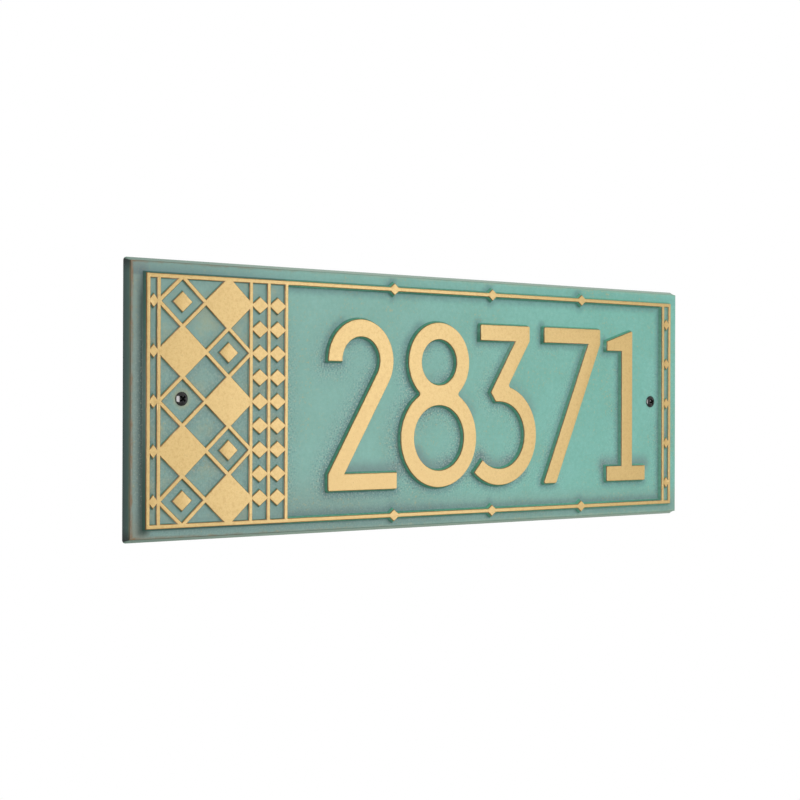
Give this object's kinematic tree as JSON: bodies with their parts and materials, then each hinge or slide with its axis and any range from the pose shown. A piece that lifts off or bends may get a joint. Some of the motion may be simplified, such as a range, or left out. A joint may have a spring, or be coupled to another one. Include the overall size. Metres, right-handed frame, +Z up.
{
  "type": "house number plaque",
  "caption": "Long flat cast plaque with a drafted edge, raised border, lozenge panel and raised house number, with dark pan-head screws that fix it to a wall.",
  "frame": {"origin": "centre of the flat back face, the plane that lies against the wall", "axes": "+Z up, +X to the right seen from the front, +Y into the wall, so the front faces -Y"},
  "size_m": [0.4318, 0.0349, 0.1524],
  "materials": {
    "plaque": "matte verdigris paint over sand-cast aluminium, with gold paint on the raised faces",
    "mounting_screws": "glossy black coating over steel"
  },
  "bodies": {
    "root": {"plaque": "plaque", "mounting_screws": "mounting_screws"}
  },
  "joints": []
}
